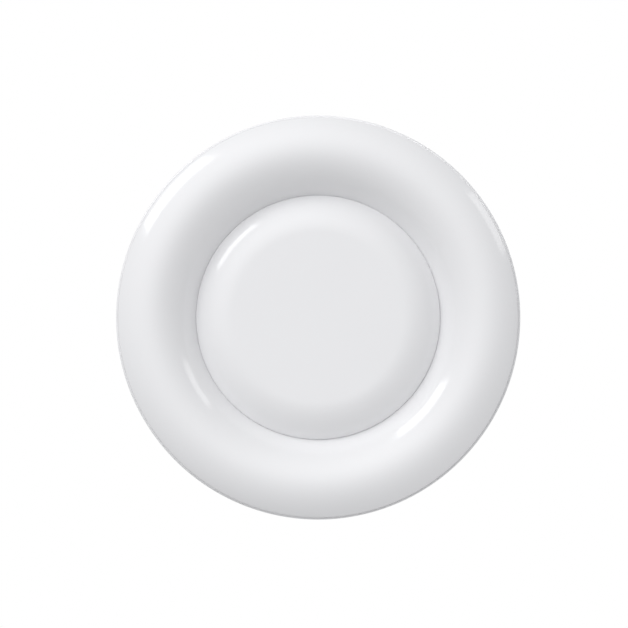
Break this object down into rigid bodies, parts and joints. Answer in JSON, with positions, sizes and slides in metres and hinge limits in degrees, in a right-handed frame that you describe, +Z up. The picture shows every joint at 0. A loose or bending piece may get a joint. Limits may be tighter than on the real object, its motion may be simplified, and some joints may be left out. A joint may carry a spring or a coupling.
{
  "type": "ceiling air diffuser",
  "caption": "Round ceiling disc valve: rounded face ring, domed-edge disc on a screwed spindle, and a duct mounting frame with lip seal.",
  "frame": {"origin": "centre of the mounting frame's screw circle, in the plane of the ceiling", "axes": "+Z up the duct along the valve's axis, away from the room; the disc faces -Z; +X along the crossbar"},
  "size_m": [0.17, 0.17, 0.0625],
  "materials": {
    "powder_coat": "gloss white powder coat",
    "galvanised": "galvanised sheet with spangle",
    "zinc_plated": "bright zinc plating",
    "spring_steel": "blued spring steel",
    "epdm": "matt EPDM",
    "foam": "closed-cell polyethylene foam",
    "nylon": "natural nylon"
  },
  "bodies": {
    "mounting_frame": {"mounting_frame": "galvanised", "lip_seal": "epdm", "frame_screw_1": "zinc_plated", "frame_screw_2": "zinc_plated", "frame_screw_3": "zinc_plated"},
    "valve_body": {"face_ring": "powder_coat", "neck": "powder_coat", "flange_seal": "foam", "crossbar": "galvanised", "crossbar_rivet_1": "zinc_plated", "crossbar_rivet_2": "zinc_plated", "crossbar_rivet_3": "zinc_plated", "crossbar_rivet_4": "zinc_plated", "threaded_bush": "zinc_plated", "clip_foot_1": "spring_steel", "clip_foot_2": "spring_steel", "clip_foot_3": "spring_steel", "clip_rivet_1": "zinc_plated", "clip_rivet_2": "zinc_plated", "clip_rivet_3": "zinc_plated"},
    "clip_1": {"clip_blade_1": "spring_steel"},
    "clip_2": {"clip_blade_2": "spring_steel"},
    "clip_3": {"clip_blade_3": "spring_steel"},
    "disc_carrier": {"buffer_washer": "nylon"},
    "disc": {"disc_shell": "powder_coat", "hub_cup": "galvanised", "spindle": "zinc_plated", "disc_nut": "zinc_plated", "end_clip": "spring_steel"},
    "nut_carrier": {"lock_washer": "zinc_plated"},
    "lock_nut": {"lock_nut": "zinc_plated"}
  },
  "joints": [
    {"name": "valve_pull", "type": "slide", "parent": "mounting_frame", "child": "valve_body", "axis": [0, 0, -1], "range_m": [0, 0.05]},
    {"name": "disc_travel", "type": "slide", "parent": "valve_body", "child": "disc_carrier", "axis": [0, 0, -1], "range_m": [0, 0.015]},
    {"name": "disc_turn", "type": "hinge", "parent": "disc_carrier", "child": "disc", "pos_m": [0, 0, 0], "axis": [0, 0, -1], "range_deg": [0, 4320]},
    {"name": "locknut_travel", "type": "slide", "parent": "valve_body", "child": "nut_carrier", "axis": [0, 0, 1], "range_m": [0, 0.0025]},
    {"name": "locknut_turn", "type": "hinge", "parent": "nut_carrier", "child": "lock_nut", "pos_m": [0, 0, 0], "axis": [0, 0, 1], "range_deg": [0, 720]},
    {"name": "clip_flex_1", "type": "hinge", "parent": "valve_body", "child": "clip_1", "pos_m": [0, 0.05255, 0.0193], "axis": [1, 0, 0], "range_deg": [0, 9], "stiffness_Nm_per_rad": 0.8, "springref_deg": -2.86},
    {"name": "clip_flex_2", "type": "hinge", "parent": "valve_body", "child": "clip_2", "pos_m": [-0.04551, -0.02627, 0.0193], "axis": [-0.5, 0.866, 0], "range_deg": [0, 9], "stiffness_Nm_per_rad": 0.8, "springref_deg": -2.86},
    {"name": "clip_flex_3", "type": "hinge", "parent": "valve_body", "child": "clip_3", "pos_m": [0.04551, -0.02627, 0.0193], "axis": [-0.5, -0.866, 0], "range_deg": [0, 9], "stiffness_Nm_per_rad": 0.8, "springref_deg": -2.86}
  ],
  "couplings": [
    {"joint": "disc_travel", "follows": "disc_turn", "m_per_rad": 0.00019894},
    {"joint": "locknut_travel", "follows": "locknut_turn", "m_per_rad": 0.00019894}
  ]
}
